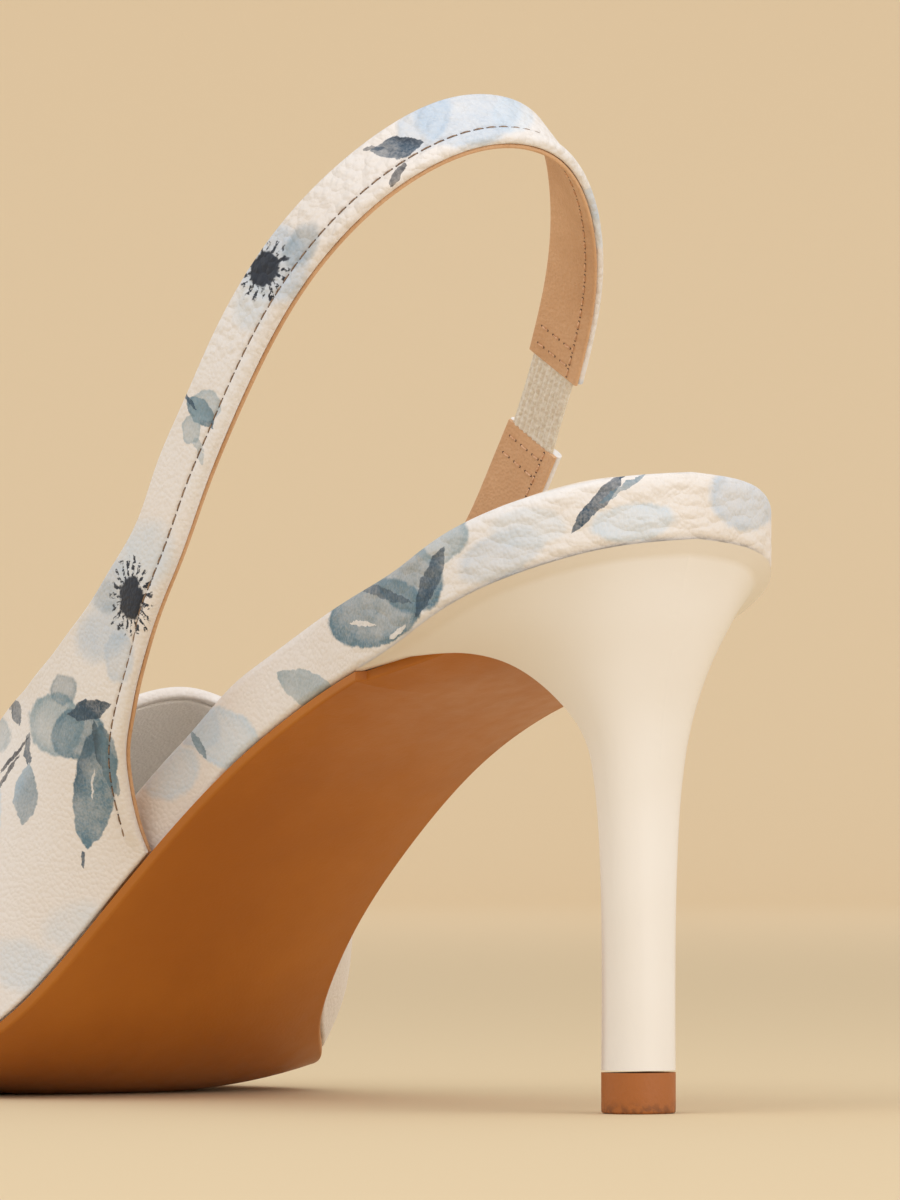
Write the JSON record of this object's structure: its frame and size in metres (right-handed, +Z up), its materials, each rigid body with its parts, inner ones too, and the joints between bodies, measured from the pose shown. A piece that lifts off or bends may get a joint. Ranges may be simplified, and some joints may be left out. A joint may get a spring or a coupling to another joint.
{
  "type": "slingback court shoe",
  "caption": "Women's slingback court shoe with a slim high heel, floral printed leather upper, covered footbed band, elastic strap joint and brown moulded sole; left shoe, empty.",
  "frame": {"origin": "centre of the worn face of the heel tip, on the floor", "axes": "+X towards the toe, +Y to the outer side of the foot, +Z up"},
  "size_m": [0.233, 0.0782, 0.1437],
  "materials": {
    "printed_leather": "satin",
    "lining_leather": "matte",
    "webbing": "matte",
    "sole_rubber": "satin",
    "heel_gloss": "satin gloss",
    "tip_rubber": "satin"
  },
  "bodies": {
    "root": {"upper": "printed_leather", "footbed": "printed_leather", "insole": "lining_leather", "elastic": "webbing", "outsole": "sole_rubber", "heel": "heel_gloss", "heel_tip": "tip_rubber"}
  },
  "joints": []
}
